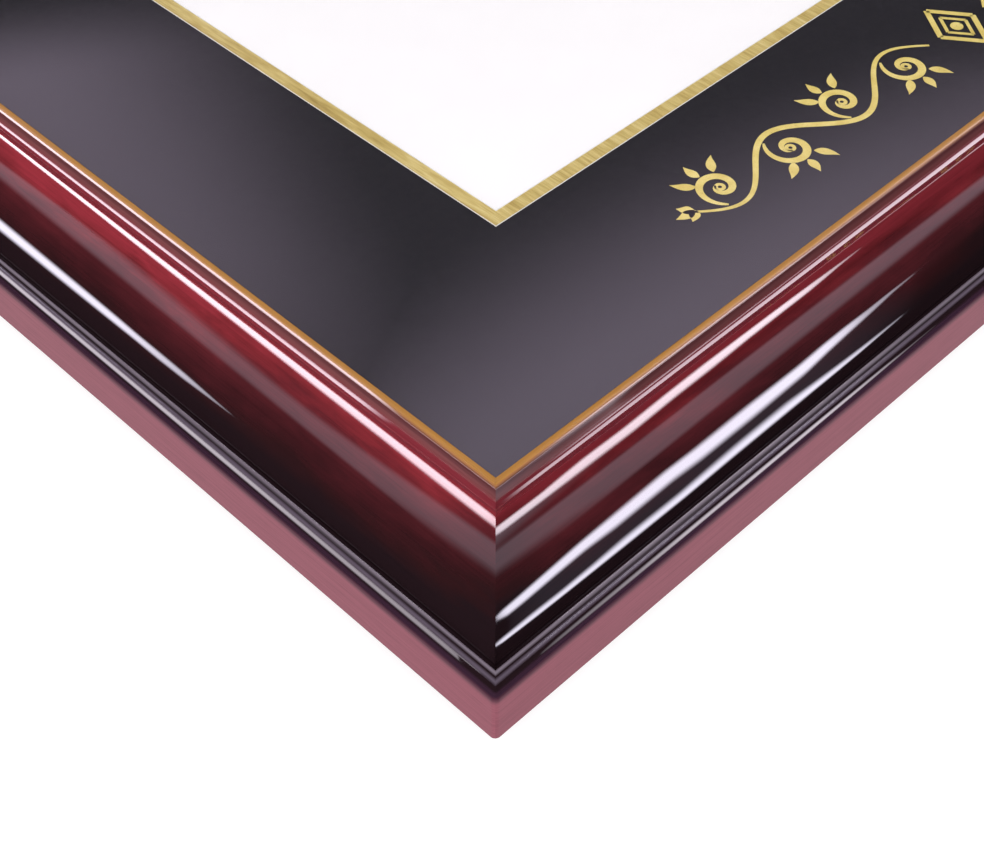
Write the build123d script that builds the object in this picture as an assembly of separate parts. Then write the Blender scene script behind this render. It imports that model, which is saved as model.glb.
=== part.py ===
from build123d import *
import os
from math import sin, cos, atan2, radians, degrees, acos

# Certificate frame, lying on its back with the face up.
# +X runs along the bottom rail, +Y points to the top of the hung frame and +Z comes out of the face.
# z = 0 is the plane of the wall bumpers' feet, and x = y = 0 is the middle of the frame. Millimetres.

# ---------------------------------------------------------------- driving dimensions
glass_w, glass_h = 406.4, 342.9        # glass, mats and backing boards, 16 x 13.5 in
rail_w = 36.4                          # visible width of the moulding with its gilt lip, about 1 7/16 in
edge_gap = 0.8                         # play between the glass and the rabbet wall
rabbet_w = 6.55                        # rabbet under the nose of the rail, about 1/4 in
nose_u = 34.0                          # outer edge to the nose of the wooden rail
lip_under = 10.4                       # rail back to the underside of the gilt lip
lip_seat = 12.4                        # rail back to the ledge that the gilt lip hangs from
stand_off = 4.0                        # rail back above the bumpers' feet

side_h = 11.39                         # straight outer side
crest_u, crest_z = 18.0, 19.6          # crest of the dome
dome_r = 20.8                          # outer half of the dome
inner_r = 22.6                         # inner half of the dome
foot_deg = 80.0                        # slope of the dome where it leaves the quirk
bevel = 2.2                            # steep slope below the shoulder
step_u = 32.8                          # end of the step between the bevel and the nose
corner_r = 1.2                         # softened outer corners of the frame

glass_t, mat_t, sheet_t = 2.0, 1.4, 0.25
filler_t, panel_t = 3.0, 2.35
cert_w, cert_h = 279.4, 215.9          # certificate sheet, 11 x 8.5 in
mat_border = 55.9                      # black mat seen between the gilt lip and its window
mat_reveal = 5.0                       # black window edge to gold window edge

nail_leg, nail_t, nail_h = 3.5, 0.5, 7.0
nail_u = (10.0, 19.0)                  # V-nails along each mitre, from the outer corner

btn_t, btn_r1, btn_r2, btn_len = 1.2, 5.5, 4.0, 14.0
btn_gap = 0.1                          # air between a turn button and the rail, and under its screw head
btn_in = 9.0                           # pivot back from the rabbet wall
btn_x, btn_y = 115.0, 110.0            # pivots along the long and the short rails
btn_screw_r, btn_hole_r = 1.55, 1.61
btn_head_r, btn_head_h, btn_screw_len = 3.2, 1.5, 9.0

strap_w, strap_t, strap_len = 9.0, 1.6, 17.0
ring_wire_r, ring_play = 0.9, 0.07
knuckle_r = 1.8
ring_half, ring_corner, ring_side = 7.5, 2.5, 9.0
hang_u, hang_y = 13.7, 62.0            # ring bar on each side rail
hang_screw_r, hang_head_r, hang_head_h, hang_screw_len = 1.75, 3.4, 1.5, 12.0
hang_screw_back = 11.5                 # hanger screw below the ring bar
pilot_play = 0.06                      # pilot holes over screw shanks

bump_r, bump_edge = 5.5, 1.2
bump_in_x, bump_in_y = 36.0, 12.0

# ---------------------------------------------------------------- derived sizes
wall_u = nose_u - rabbet_w             # rabbet wall from the outer edge
HX = glass_w / 2 + edge_gap + wall_u   # half the frame's outside
HY = glass_h / 2 + edge_gap + wall_u
BACK = stand_off
sight_x, sight_y = HX - rail_w, HY - rail_w


# ---------------------------------------------------------------- moulding section
# (u, z): u inwards from the outer edge, z up from the rail back. A tilt is the angle of the surface's
# normal from straight up, in degrees, positive towards the inside of the frame.
s = sin(radians(45))


class Outline:
    """Runs of lines and tangent arcs, each carried on from the last one."""

    def __init__(self, at, tilt):
        self.at, self.tilt, self.edges = at, tilt, []

    def line(self, length):
        t = radians(self.tilt)
        end = (self.at[0] + length * cos(t), self.at[1] - length * sin(t))
        self.edges.append(Line(self.at, end))
        self.at = end

    def arc(self, r, tilt):
        """Bend to a tilt: a round when the tilt grows, a hollow when it falls."""
        k = r if tilt > self.tilt else -r
        c = (self.at[0] - k * sin(radians(self.tilt)), self.at[1] - k * cos(radians(self.tilt)))
        m = radians((self.tilt + tilt) / 2)
        end = (c[0] + k * sin(radians(tilt)), c[1] + k * cos(radians(tilt)))
        self.edges.append(ThreePointArc(self.at, (c[0] + k * sin(m), c[1] + k * cos(m)), end))
        self.at, self.tilt = end, tilt


rail = Outline((0.0, 0.0), -90.0)
rail.line(side_h)                      # outer side, easing in to a small bead
rail.arc(7.0, -72)
rail.arc(1.0, -58)
rail.arc(5.5, -40)                     # round of the bead
rail.arc(1.0, -9)
rail.arc(4.0, 5)
rail.arc(0.6, 60)
rail.line(0.72)
rail.arc(0.35, -foot_deg)              # quirk between the bead and the dome
# foot of the dome: the radius that meets the dome's outer half without a kink
f = radians(foot_deg)
du, dz = rail.at[0] - crest_u, rail.at[1] - (crest_z - dome_r)
foot_r = (dome_r ** 2 - du ** 2 - dz ** 2) / (2 * (dome_r + du * sin(f) - dz * cos(f)))
rail.arc(foot_r, degrees(atan2(du + foot_r * sin(f), dz - foot_r * cos(f))))
rail.arc(dome_r, 0)
rail.arc(inner_r, 22)
rail.arc(0.5, 38)                      # shoulder, and a hollow bevel below it
rail.line(bevel)
rail.arc(0.8, 29.5)
rail.arc(22.0, 23.5)
rail.arc(0.35, 9)
rail.line((step_u - rail.at[0]) / cos(radians(9)))      # step, rolling over to the sloped nose
rail.arc(1.0, 24)
nose_r = 0.3
rail.line((nose_u - nose_r * (1 - sin(radians(24))) - rail.at[0]) / cos(radians(24)))
rail.arc(nose_r, 90)
rail_section = Face(Wire(rail.edges + [
    Line(rail.at, (nose_u, lip_seat)),
    Line((nose_u, lip_seat), (wall_u, lip_seat)),
    Line((wall_u, lip_seat), (wall_u, 0)),
    Line((wall_u, 0), (0, 0)),
]))

# gilt lip: a flange held under the nose, and a face that carries the nose's slope down to the sight edge
lip_r = 0.7
lip_u, lip_z = nose_u + 0.06, 14.32
lip_bend = (rail_w - lip_u - lip_r * (1 - sin(radians(34)))) / (sin(radians(34)) - sin(radians(28)))
lip = Outline((lip_u, lip_seat), -90.0)
lip.line(lip_z - lip_seat)
lip.tilt = 28.0
lip.arc(lip_bend, 34)
lip.arc(lip_r, 90)
lip_section = Face(Wire(lip.edges + [
    Line(lip.at, (rail_w, lip_under)),
    Line((rail_w, lip_under), (wall_u + 0.1, lip_under)),
    Line((wall_u + 0.1, lip_under), (wall_u + 0.1, lip_seat)),
    Line((wall_u + 0.1, lip_seat), (lip_u, lip_seat)),
]))

# each side: plane of its section, run, and the mitred plan that it is cut to
cut = 60.0
sides = {
    "bottom": (Plane(origin=(-HX, -HY, BACK), x_dir=(0, 1, 0), z_dir=(1, 0, 0)), 2 * HX,
               [(-HX, -HY), (HX, -HY), (HX - cut, -HY + cut), (-HX + cut, -HY + cut)]),
    "top": (Plane(origin=(HX, HY, BACK), x_dir=(0, -1, 0), z_dir=(-1, 0, 0)), 2 * HX,
            [(HX, HY), (-HX, HY), (-HX + cut, HY - cut), (HX - cut, HY - cut)]),
    "left": (Plane(origin=(-HX, HY, BACK), x_dir=(1, 0, 0), z_dir=(0, -1, 0)), 2 * HY,
             [(-HX, HY), (-HX, -HY), (-HX + cut, -HY + cut), (-HX + cut, HY - cut)]),
    "right": (Plane(origin=(HX, -HY, BACK), x_dir=(-1, 0, 0), z_dir=(0, 1, 0)), 2 * HY,
              [(HX, -HY), (HX, HY), (HX - cut, HY - cut), (HX - cut, -HY + cut)]),
}


def plan(points):
    return extrude(Pos(0, 0, -5) * make_face(Polyline(*points, close=True)), 60, dir=(0, 0, 1))


outline = extrude(Pos(0, 0, -5) * RectangleRounded(2 * HX, 2 * HY, corner_r), 60, dir=(0, 0, 1))

rails, lips = {}, {}
for name, (plane, run, points) in sides.items():
    rails[name] = extrude(plane * rail_section, run, dir=plane.z_dir) & plan(points) & outline
    lips[name] = extrude(plane * lip_section, run, dir=plane.z_dir) & plan(points)

# ---------------------------------------------------------------- V-nails across the mitres
h = nail_t * s
vee = make_face(Polyline(
    (h, 0), (h - nail_leg, nail_leg), (-h - nail_leg + h, nail_leg - h), (-h, 0),
    (-nail_leg, -nail_leg + h), (h - nail_leg, -nail_leg), close=True))
nails = []
for sx in (-1, 1):
    for sy in (-1, 1):
        ang = {(-1, -1): 45, (1, -1): 135, (1, 1): 225, (-1, 1): 315}[(sx, sy)]
        for u in nail_u:
            nails.append(extrude(Pos(sx * (HX - u), sy * (HY - u), BACK) * Rot(0, 0, ang) * vee, nail_h, dir=(0, 0, 1)))
for name in rails:
    for nail in nails:
        rails[name] = rails[name] - nail

# ---------------------------------------------------------------- glass, mats, sheet and boards
z_glass = BACK + lip_under - glass_t
z_top_mat = z_glass - mat_t
z_inner_mat = z_top_mat - mat_t
z_sheet = z_inner_mat - sheet_t
z_filler = z_sheet - filler_t
z_panel = z_filler - panel_t
low = (Align.CENTER, Align.CENTER, Align.MIN)


def slab(w, hgt, t, z):
    return Pos(0, 0, z) * Box(w, hgt, t, align=low)


def windowed(half_x, half_y, z):
    """Mat board whose window is cut at 45 degrees, wider on top."""
    e = 0.2
    bottom = Pos(0, 0, z - e) * Rectangle(2 * (half_x - mat_t - e), 2 * (half_y - mat_t - e))
    top = Pos(0, 0, z + mat_t + e) * Rectangle(2 * (half_x + e), 2 * (half_y + e))
    return slab(glass_w, glass_h, mat_t, z) - loft([bottom.face(), top.face()])


win_x, win_y = sight_x - mat_border, sight_y - mat_border
glazing = slab(glass_w, glass_h, glass_t, z_glass)
top_mat = windowed(win_x, win_y, z_top_mat)
inner_mat = windowed(win_x - mat_reveal, win_y - mat_reveal, z_inner_mat)
certificate = slab(cert_w, cert_h, sheet_t, z_sheet)
filler_board = slab(glass_w, glass_h, filler_t, z_filler)
back_panel = slab(glass_w, glass_h, panel_t, z_panel)


# ---------------------------------------------------------------- screws
def pan_screw(x, y, z_seat, head_r, head_h, shank_r, length):
    """Slotted pan-head screw, head down, its seat at z_seat and its shank up into the rail."""
    head = Pos(x, y, z_seat - head_h) * Cylinder(head_r, head_h, align=low)
    head = fillet(head.edges().group_by(Axis.Z)[0], head_h * 0.5)
    head = head - Pos(x, y, z_seat - head_h) * Box(head_r * 3, 0.9, 1.4)
    shank = Pos(x, y, z_seat) * Cylinder(shank_r, length, align=low)
    shank = chamfer(shank.edges().group_by(Axis.Z)[-1], shank_r * 0.6)
    return head + shank


# ---------------------------------------------------------------- turn buttons
al = acos((btn_r1 - btn_r2) / btn_len)
web = make_face(Polyline(
    (btn_r1 * cos(al), btn_r1 * sin(al)), (btn_len + btn_r2 * cos(al), btn_r2 * sin(al)),
    (btn_len + btn_r2 * cos(al), -btn_r2 * sin(al)), (btn_r1 * cos(al), -btn_r1 * sin(al)), close=True))
blade = Circle(btn_r1) + Pos(btn_len, 0) * Circle(btn_r2) + web - Circle(btn_hole_r)
pivot = wall_u - btn_in
spots = [
    (-btn_x, -HY + pivot, 90, "bottom"), (btn_x, -HY + pivot, 90, "bottom"),
    (HX - pivot, -btn_y, 180, "right"), (HX - pivot, btn_y, 180, "right"),
    (btn_x, HY - pivot, 270, "top"), (-btn_x, HY - pivot, 270, "top"),
    (-HX + pivot, btn_y, 0, "left"), (-HX + pivot, -btn_y, 0, "left"),
]
z_btn = BACK - btn_gap - btn_t
buttons, button_screws = [], []
for x, y, ang, side in spots:
    buttons.append(extrude(Pos(x, y, z_btn) * Rot(0, 0, ang) * blade, btn_t, dir=(0, 0, 1)))
    seat = z_btn - btn_gap
    button_screws.append(pan_screw(x, y, seat, btn_head_r, btn_head_h, btn_screw_r, BACK - seat + btn_screw_len))
    rails[side] = rails[side] - Pos(x, y, BACK - 1) * Cylinder(btn_screw_r + pilot_play, btn_screw_len + 1.5, align=low)

# ---------------------------------------------------------------- D-ring hangers
z_bar = BACK - knuckle_r


def hanger(sx):
    x = sx * (HX - hang_u)
    plate = Pos(x, hang_y, BACK - strap_t) * Box(strap_w, strap_len - strap_w / 2, strap_t,
                                                 align=(Align.CENTER, Align.MAX, Align.MIN))
    tail = Pos(x, hang_y - strap_len + strap_w / 2, BACK - strap_t) * Cylinder(strap_w / 2, strap_t, align=low)
    knuckle = Pos(x, hang_y, z_bar) * Rot(0, 90, 0) * Cylinder(knuckle_r, strap_w)
    bore = Pos(x, hang_y, z_bar) * Rot(0, 90, 0) * Cylinder(ring_wire_r + ring_play, strap_w * 2)
    hole = Pos(x, hang_y - hang_screw_back, BACK - strap_t - 1) * Cylinder(hang_screw_r + pilot_play, strap_t + 2, align=low)
    return (plate + tail + knuckle) - bore - hole


def d_ring(sx):
    x, y, z = sx * (HX - hang_u), hang_y, z_bar
    b, c, t = ring_half - ring_corner, ring_corner, ring_side
    q = c * (1 - s)
    path = Wire([
        Line((x - b, y, z), (x + b, y, z)),
        ThreePointArc((x + b, y, z), (x + ring_half - q, y + q, z), (x + ring_half, y + c, z)),
        Line((x + ring_half, y + c, z), (x + ring_half, y + t, z)),
        ThreePointArc((x + ring_half, y + t, z), (x, y + t + ring_half, z), (x - ring_half, y + t, z)),
        Line((x - ring_half, y + t, z), (x - ring_half, y + c, z)),
        ThreePointArc((x - ring_half, y + c, z), (x - ring_half + q, y + q, z), (x - b, y, z)),
    ])
    wire = Plane(origin=(x - b, y, z), z_dir=(1, 0, 0)) * Circle(ring_wire_r)
    return sweep(wire, path=path)


hang_side = {-1: "left", 1: "right"}
straps, rings, hanger_screws = {}, {}, []
for sx, side in hang_side.items():
    straps[side] = hanger(sx)
    rings[side] = d_ring(sx)
    x, y = sx * (HX - hang_u), hang_y - hang_screw_back
    seat = BACK - strap_t
    hanger_screws.append(pan_screw(x, y, seat, hang_head_r, hang_head_h, hang_screw_r, strap_t + hang_screw_len))
    rails[side] = rails[side] - Pos(x, y, BACK - 1) * Cylinder(hang_screw_r + pilot_play, hang_screw_len + 1.5, align=low)

# ---------------------------------------------------------------- wall bumpers
bumpers = []
for sx in (-1, 1):
    for sy in (-1, 1):
        b = Pos(sx * (HX - bump_in_x), sy * (HY - bump_in_y), 0) * Cylinder(bump_r, stand_off, align=low)
        bumpers.append(fillet(b.edges().group_by(Axis.Z)[0], bump_edge))

# ---------------------------------------------------------------- write one file per piece
os.makedirs("parts", exist_ok=True)


def one(shape):
    """The single solid of a piece."""
    found = shape.solids()
    assert len(found) == 1, len(found)
    return found[0]


pieces = {}
for side in sides:
    pieces["rail_" + side] = one(rails[side])
    pieces["gilt_lip_" + side] = one(lips[side])
pieces["corner_v_nails"] = Compound(children=[one(p) for p in nails])
pieces["glazing"] = one(glazing)
pieces["top_mat"] = one(top_mat)
pieces["inner_mat"] = one(inner_mat)
pieces["certificate"] = one(certificate)
pieces["filler_board"] = one(filler_board)
pieces["back_panel"] = one(back_panel)
for i, b in enumerate(buttons, 1):
    pieces["turn_button_%d" % i] = one(b)
pieces["turn_button_screws"] = Compound(children=[one(p) for p in button_screws])
for side in ("left", "right"):
    pieces["hanger_strap_" + side] = one(straps[side])
    pieces["d_ring_" + side] = one(rings[side])
pieces["hanger_screws"] = Compound(children=[one(p) for p in hanger_screws])
pieces["wall_bumpers"] = Compound(children=[one(p) for p in bumpers])

for node, shape in pieces.items():
    export_step(shape, "parts/%s.step" % node)
print(len(pieces), "pieces, outside", round(2 * HX, 2), round(2 * HY, 2), "crest", BACK + crest_z,
      "foot radius", round(foot_r, 3), "nose", [round(v, 3) for v in rail.at], "sight", [round(v, 3) for v in lip.at], "panel back z", round(z_panel, 3))
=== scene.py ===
import math
from math import sin, cos, tan, pi, radians, sqrt, atan2, hypot
import bpy
import bmesh
from mathutils import Vector, Matrix


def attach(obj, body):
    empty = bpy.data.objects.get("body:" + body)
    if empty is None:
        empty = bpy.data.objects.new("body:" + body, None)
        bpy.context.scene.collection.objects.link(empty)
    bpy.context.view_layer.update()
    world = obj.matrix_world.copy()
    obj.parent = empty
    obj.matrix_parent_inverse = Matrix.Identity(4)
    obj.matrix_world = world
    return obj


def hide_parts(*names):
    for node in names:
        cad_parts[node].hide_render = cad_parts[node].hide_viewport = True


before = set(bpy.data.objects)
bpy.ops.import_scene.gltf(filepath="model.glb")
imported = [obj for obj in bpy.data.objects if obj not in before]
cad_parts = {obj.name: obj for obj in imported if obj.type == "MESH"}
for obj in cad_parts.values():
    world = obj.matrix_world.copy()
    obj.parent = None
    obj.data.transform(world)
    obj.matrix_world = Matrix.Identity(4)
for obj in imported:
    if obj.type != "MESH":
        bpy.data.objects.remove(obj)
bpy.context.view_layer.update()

MM = 0.001

# ------------------------------------------------------------------ sizes, in millimetres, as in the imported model
HX, HY = 231.45, 199.7                 # half the outside
BACK = 4.0                             # rail back above the floor
RAIL_W = 36.4
WALL_U, NOSE_U = 27.45, 34.0
LIP_UNDER, LIP_SEAT = 10.4, 12.4
CORNER_R = 1.2
GX, GY = 203.2, 171.45                 # half the glass and the boards
SIGHT_X, SIGHT_Y = HX - RAIL_W, HY - RAIL_W
WIN_X, WIN_Y = SIGHT_X - 55.9, SIGHT_Y - 55.9
REVEAL = 5.0
MAT_T = 1.4
Z_GLASS = BACK + LIP_UNDER - 2.0
Z_TOP = Z_GLASS - MAT_T
Z_INNER = Z_TOP - MAT_T


# ------------------------------------------------------------------ node helpers
class Nodes:
    """A material's node tree with short calls for the nodes used here."""

    def __init__(self, name):
        self.mat = bpy.data.materials.new(name)
        self.mat.use_nodes = True
        self.t = self.mat.node_tree
        self.t.nodes.clear()
        self.out = self.t.nodes.new("ShaderNodeOutputMaterial")

    def n(self, kind, **props):
        node = self.t.nodes.new(kind)
        for key, value in props.items():
            setattr(node, key, value)
        return node

    def put(self, socket, value):
        if hasattr(value, "is_output"):
            self.t.links.new(value, socket)
        else:
            socket.default_value = value

    def principled(self, **sockets):
        node = self.n("ShaderNodeBsdfPrincipled")
        for key, value in sockets.items():
            self.put(node.inputs[key.replace("_", " ")], value)
        return node

    def surface(self, socket):
        self.t.links.new(socket, self.out.inputs["Surface"])
        return self.mat

    def attr(self, name):
        return self.n("ShaderNodeAttribute", attribute_name=name).outputs["Vector"]

    def coords(self):
        return self.n("ShaderNodeTexCoord").outputs["Object"]

    def mapped(self, vec, scale=(1, 1, 1), loc=(0, 0, 0), rot=(0, 0, 0)):
        node = self.n("ShaderNodeMapping")
        self.put(node.inputs["Vector"], vec)
        node.inputs["Scale"].default_value = scale
        node.inputs["Location"].default_value = loc
        node.inputs["Rotation"].default_value = rot
        return node.outputs["Vector"]

    def noise(self, vec, scale=5.0, detail=4.0, rough=0.5, distort=0.0):
        node = self.n("ShaderNodeTexNoise")
        self.put(node.inputs["Vector"], vec)
        node.inputs["Scale"].default_value = scale
        node.inputs["Detail"].default_value = detail
        node.inputs["Roughness"].default_value = rough
        node.inputs["Distortion"].default_value = distort
        return node.outputs["Fac"]

    def voronoi(self, vec, scale=5.0, feature="F1", out="Distance"):
        node = self.n("ShaderNodeTexVoronoi", feature=feature)
        self.put(node.inputs["Vector"], vec)
        node.inputs["Scale"].default_value = scale
        return node.outputs[out]

    def math(self, op, a, b=0.0, clamp=False):
        node = self.n("ShaderNodeMath", operation=op, use_clamp=clamp)
        self.put(node.inputs[0], a)
        self.put(node.inputs[1], b)
        return node.outputs[0]

    def span(self, v, a, b, lo=0.0, hi=1.0, smooth=False):
        node = self.n("ShaderNodeMapRange", interpolation_type="SMOOTHSTEP" if smooth else "LINEAR")
        self.put(node.inputs["Value"], v)
        node.inputs["From Min"].default_value = a
        node.inputs["From Max"].default_value = b
        node.inputs["To Min"].default_value = lo
        node.inputs["To Max"].default_value = hi
        return node.outputs["Result"]

    def sep(self, vec):
        node = self.n("ShaderNodeSeparateXYZ")
        self.put(node.inputs[0], vec)
        return node.outputs

    def ramp(self, fac, stops, interp="LINEAR"):
        node = self.n("ShaderNodeValToRGB")
        ramp = node.color_ramp
        ramp.interpolation = interp
        while len(ramp.elements) < len(stops):
            ramp.elements.new(0.5)
        for e, (pos, col) in zip(ramp.elements, stops):
            e.position = pos
            e.color = (*col, 1.0)
        self.put(node.inputs["Fac"], fac)
        return node.outputs["Color"]

    def mix(self, fac, a, b, mode="MIX"):
        node = self.n("ShaderNodeMix", data_type="RGBA", blend_type=mode)
        self.put(node.inputs[0], fac)
        self.put(node.inputs[6], a if hasattr(a, "is_output") else (*a, 1.0))
        self.put(node.inputs[7], b if hasattr(b, "is_output") else (*b, 1.0))
        return node.outputs[2]

    def bump(self, height, strength, distance, normal=None):
        node = self.n("ShaderNodeBump")
        node.inputs["Strength"].default_value = strength
        node.inputs["Distance"].default_value = distance
        self.put(node.inputs["Height"], height)
        if normal is not None:
            self.put(node.inputs["Normal"], normal)
        return node.outputs["Normal"]


def srgb(r, g, b):
    """Linear colour of an 8-bit display colour."""
    return tuple(((c / 255) / 12.92 if c <= 10 else (((c / 255) + 0.055) / 1.055) ** 2.4) for c in (r, g, b))


# ------------------------------------------------------------------ materials
def lacquered_wood():
    """Red-brown stain, burnished to near black over the outer half, under clear gloss lacquer.
    The attribute prof holds (run along the rail, way across the section, rail number) in mm."""
    k = Nodes("lacquered_wood")
    p = k.attr("prof")
    x, s, rail = k.sep(p)
    # uneven hand of the stain: long soft tongues along the rail, and a finer fleck
    skew = k.mapped(p, (1.0, 1.0, 1.0), rot=(0, 0, 0.06))
    cloud = k.noise(k.mapped(skew, (0.026, 0.10, 0.7)), 1.0, 3.0, 0.5, 0.3)
    fleck = k.noise(k.mapped(skew, (0.085, 0.30, 0.9)), 1.0, 4.0, 0.6, 0.5)
    grain = k.noise(k.mapped(p, (0.02, 2.6, 1.3)), 1.0, 5.0, 0.65, 0.15)
    pore = k.noise(k.mapped(p, (0.09, 5.5, 1.7)), 1.0, 2.0, 0.5)
    push = k.math("ADD", k.math("MULTIPLY", k.math("SUBTRACT", cloud, 0.5), 11.0),
                  k.math("MULTIPLY", k.math("SUBTRACT", fleck, 0.5), 6.0))
    # the stain follows the section, pushed about by the cloud only on the dome
    dome = k.math("MULTIPLY", k.span(s, 19.8, 26.0, 0.0, 1.0, True), k.span(s, 39.0, 45.5, 1.0, 0.0, True))
    # and it runs darker over the dome towards each mitre
    number = k.math("DIVIDE", rail, 37.0)
    half = k.math("SUBTRACT", HX, k.math("MULTIPLY", k.math("MODULO", k.math("ADD", number, 0.01), 2.0), HX - HY))
    run = k.math("ABSOLUTE", k.math("SUBTRACT", x, k.math("MULTIPLY", number, 613.0)))
    far = k.math("SUBTRACT", k.math("SUBTRACT", half, run), k.math("SUBTRACT", s, 14.5))
    push = k.math("SUBTRACT", push, k.span(far, -1.0, 17.0, 4.2, 0.0, True))
    pos = k.math("DIVIDE", k.math("ADD", s, k.math("MULTIPLY", push, dome)), 60.0)
    side = (0.296, 0.086, 0.118)
    edge = (0.038, 0.0165, 0.031)
    black = (0.0150, 0.0076, 0.0098)
    umber = (0.026, 0.0080, 0.0095)
    maroon = (0.040, 0.0088, 0.0112)
    wine = (0.078, 0.0130, 0.0172)
    claret = (0.114, 0.0168, 0.0225)
    cherry = (0.196, 0.0220, 0.0290)
    bright = (0.285, 0.0295, 0.0420)
    bevel = (0.234, 0.0300, 0.0430)
    base = k.ramp(pos, [
        (0.0, side), (10.5 / 60, side), (11.7 / 60, (0.125, 0.042, 0.062)), (12.8 / 60, edge), (13.5 / 60, edge),
        # painted highlights: the pale lavender stops at 15.15 to 15.5 and 16.65 to 17.05 paint thin highlight lines on
        # the two small rounds of the bead
        (14.0 / 60, black), (14.9 / 60, black), (15.15 / 60, (0.110, 0.085, 0.115)), (15.5 / 60, (0.100, 0.078, 0.105)),
        (15.95 / 60, black), (16.2 / 60, black), (16.65 / 60, (0.150, 0.120, 0.150)), (17.05 / 60, (0.140, 0.112, 0.140)),
        (17.35 / 60, black), (21.6 / 60, black),
        (24.2 / 60, umber), (27.0 / 60, maroon), (31.8 / 60, wine), (34.5 / 60, claret), (37.0 / 60, cherry), (39.8 / 60, bright),
        (42.6 / 60, bright),
        # painted reflection: the stops from 47.3 to 49.55 on the flat step are deep red stain with a painted mauve
        # reflection laid into it
        (43.3 / 60, bevel), (46.8 / 60, bevel), (47.3 / 60, (0.210, 0.053, 0.058)), (48.2 / 60, (0.190, 0.063, 0.066)),
        (49.0 / 60, (0.126, 0.040, 0.045)), (49.55 / 60, (0.118, 0.036, 0.036)), (50.5 / 60, (0.440, 0.200, 0.085)),
        (51.2 / 60, (0.500, 0.235, 0.090))])
    # painted shade: each rail is darkened by its own share of the ramp below, the bottom rail fully, the right rail in
    # part, the top rail a little and the left rail not at all, standing in for the way the light falls on each side
    near = k.ramp(k.math("DIVIDE", s, 60.0), [(at / 60, (v,) * 3) for at, v in (
        (0.0, 0.9), (17.5, 0.95), (20.0, 0.60), (24.2, 0.62), (27.0, 0.88), (30.3, 0.84), (34.5, 0.78),
        (37.2, 0.44), (40.5, 0.55), (42.4, 0.57), (43.3, 0.66), (47.0, 0.64), (47.4, 0.55), (49.3, 0.55), (50.0, 0.95))])
    tone = k.ramp(k.math("DIVIDE", rail, 148.0), [(0.0, (0.0,) * 3), (0.25, (1.0,) * 3), (0.5, (0.7,) * 3), (0.75, (0.4,) * 3)])
    tone = k.mix(tone, near, (1, 1, 1))
    base = k.mix(1.0, base, tone, "MULTIPLY")
    lines = k.span(grain, 0.35, 0.7, 0.84, 1.10)
    base = k.mix(1.0, base, k.ramp(lines, [(0.0, (0, 0, 0)), (1.0, (1, 1, 1))]), "MULTIPLY")
    dark = k.span(pore, 0.30, 0.44, 0.24, 0.0)
    base = k.mix(dark, base, (0.02, 0.006, 0.007))
    wave = k.noise(k.mapped(p, (0.022, 0.07, 1.0)), 1.0, 1.0, 0.4)
    skin = k.bump(wave, 0.03, 0.0004)
    rough = k.span(k.noise(k.mapped(p, (0.03, 0.2, 1.0)), 1.0, 3.0), 0.3, 0.7, 0.30, 0.42)
    # the lacquer is rubbed thin on the sharp turns and dull down in the quirk
    coat = k.ramp(k.math("DIVIDE", s, 60.0), [(at / 60, (v,) * 3) for at, v in (
        (0.0, 1.0), (15.15, 1.0), (15.3, 0.30), (15.8, 0.30), (16.0, 0.9), (17.2, 0.9), (17.45, 0.04), (19.1, 0.04), (19.6, 1.0),
        (42.3, 1.0), (42.38, 0.2), (42.54, 0.2), (42.62, 1.0), (46.85, 1.0), (46.95, 0.15), (47.3, 0.15), (47.5, 1.0), (49.35, 1.0), (49.5, 0.45), (49.72, 0.45), (49.85, 1.0),
        (50.55, 1.0), (50.65, 0.25))])
    b = k.principled(Base_Color=base, Roughness=rough, Specular_IOR_Level=0.0, Coat_Weight=coat,
                     Coat_Roughness=0.03, Coat_IOR=1.52)
    k.put(b.inputs["Coat Normal"], skin)
    return k.surface(b.outputs[0])


def bare_wood():
    """Sawn and stained back of the moulding."""
    k = Nodes("bare_wood")
    p = k.attr("prof")
    grain = k.noise(k.mapped(p, (0.012, 1.1, 1.0)), 1.0, 6.0, 0.62, 0.5)
    fine = k.noise(k.mapped(p, (0.12, 6.0, 1.0)), 1.0, 3.0, 0.6)
    saw = k.noise(k.mapped(p, (1.4, 0.05, 1.0)), 1.0, 2.0, 0.5)
    col = k.ramp(grain, [(0.25, (0.10, 0.045, 0.022)), (0.5, (0.19, 0.088, 0.042)), (0.75, (0.28, 0.145, 0.072))])
    col = k.mix(k.span(fine, 0.42, 0.66, 0.0, 0.55), col, (0.07, 0.03, 0.016))
    col = k.mix(k.span(saw, 0.5, 0.7, 0.0, 0.25), col, (0.33, 0.18, 0.10))
    h = k.math("ADD", k.math("MULTIPLY", fine, 0.6), k.math("MULTIPLY", saw, 0.5))
    b = k.principled(Base_Color=col, Roughness=k.span(fine, 0.3, 0.7, 0.62, 0.82), Normal=k.bump(h, 0.35, 0.0002))
    return k.surface(b.outputs[0])


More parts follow.
